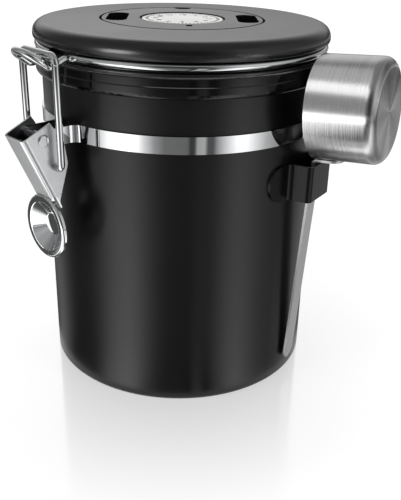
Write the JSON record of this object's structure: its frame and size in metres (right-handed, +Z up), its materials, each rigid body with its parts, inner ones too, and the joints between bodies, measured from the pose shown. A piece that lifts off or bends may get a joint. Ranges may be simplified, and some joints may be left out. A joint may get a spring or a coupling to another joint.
{
  "type": "coffee canister",
  "caption": "Upright round storage can with a wire-latched hinged lid, a one-way gas valve, a turning date dial and a measuring scoop hung on the wall.",
  "frame": {"origin": "centre of the flat base, on the can's axis", "axes": "+Z up along the can, -Y to the latch, +Y to the lid hinge, +X near the scoop"},
  "size_m": [0.1597, 0.1554, 0.1538],
  "materials": {
    "body_paint": "satin black paint on steel",
    "bright_steel": "polished bright steel",
    "holder_paint": "semi-gloss black paint",
    "lid_plastic": "fine satin black moulding",
    "liner_plastic": "plain black moulding",
    "silicone": "soft translucent grey silicone",
    "screw_steel": "plain zinc plated",
    "slip_plastic": "matt black",
    "badge_plastic": "smooth white",
    "filter_cloth": "white filter felt",
    "scoop_steel": "brushed stainless steel, spun on the end"
  },
  "bodies": {
    "can": {"canister_body": "body_paint", "body_band": "bright_steel", "lever_rivet": "bright_steel", "pivot_bush": "bright_steel", "hinge_bracket": "bright_steel", "scoop_holder": "holder_paint"},
    "lever": {"latch_lever": "bright_steel"},
    "bail": {"bail_wire": "bright_steel"},
    "lid": {"lid_ring": "bright_steel", "lid_shell": "lid_plastic", "lid_liner": "liner_plastic", "lid_gasket": "silicone", "liner_screws": "screw_steel", "slip_disc": "slip_plastic", "dial_screw": "screw_steel", "valve_filter": "filter_cloth", "valve_cap": "liner_plastic"},
    "dial": {"date_dial": "lid_plastic", "dial_badge": "badge_plastic"},
    "valve": {"valve_flap": "silicone"},
    "scoop": {"scoop_cup": "scoop_steel", "scoop_handle": "scoop_steel"}
  },
  "joints": [
    {"name": "lid_hinge", "type": "hinge", "parent": "can", "child": "lid", "pos_m": [0, 0.0675, 0.1444], "axis": [-1, 0, 0], "range_deg": [0, 100]},
    {"name": "latch_lever_turn", "type": "hinge", "parent": "can", "child": "lever", "pos_m": [0, -0.0764, 0.1155], "axis": [-1, 0, 0], "range_deg": [0, 100]},
    {"name": "bail_turn", "type": "hinge", "parent": "lever", "child": "bail", "pos_m": [0, -0.07186, 0.10419], "axis": [1, 0, 0], "range_deg": [0, 69]},
    {"name": "dial_turn", "type": "hinge", "parent": "lid", "child": "dial", "pos_m": [0, 0, 0.1526], "axis": [0, 0, 1], "continuous": true},
    {"name": "valve_lift", "type": "slide", "parent": "lid", "child": "valve", "axis": [0, 0, 1], "range_m": [0, 0.0006], "stiffness_N_per_m": 5},
    {"name": "scoop_lift", "type": "slide", "parent": "can", "child": "scoop", "axis": [0.0582, 0.0184, 0.9981], "range_m": [0, 0.112]}
  ],
  "couplings": [
    {"joint": "bail_turn", "follows": "latch_lever_turn", "ratio": 0.69}
  ]
}
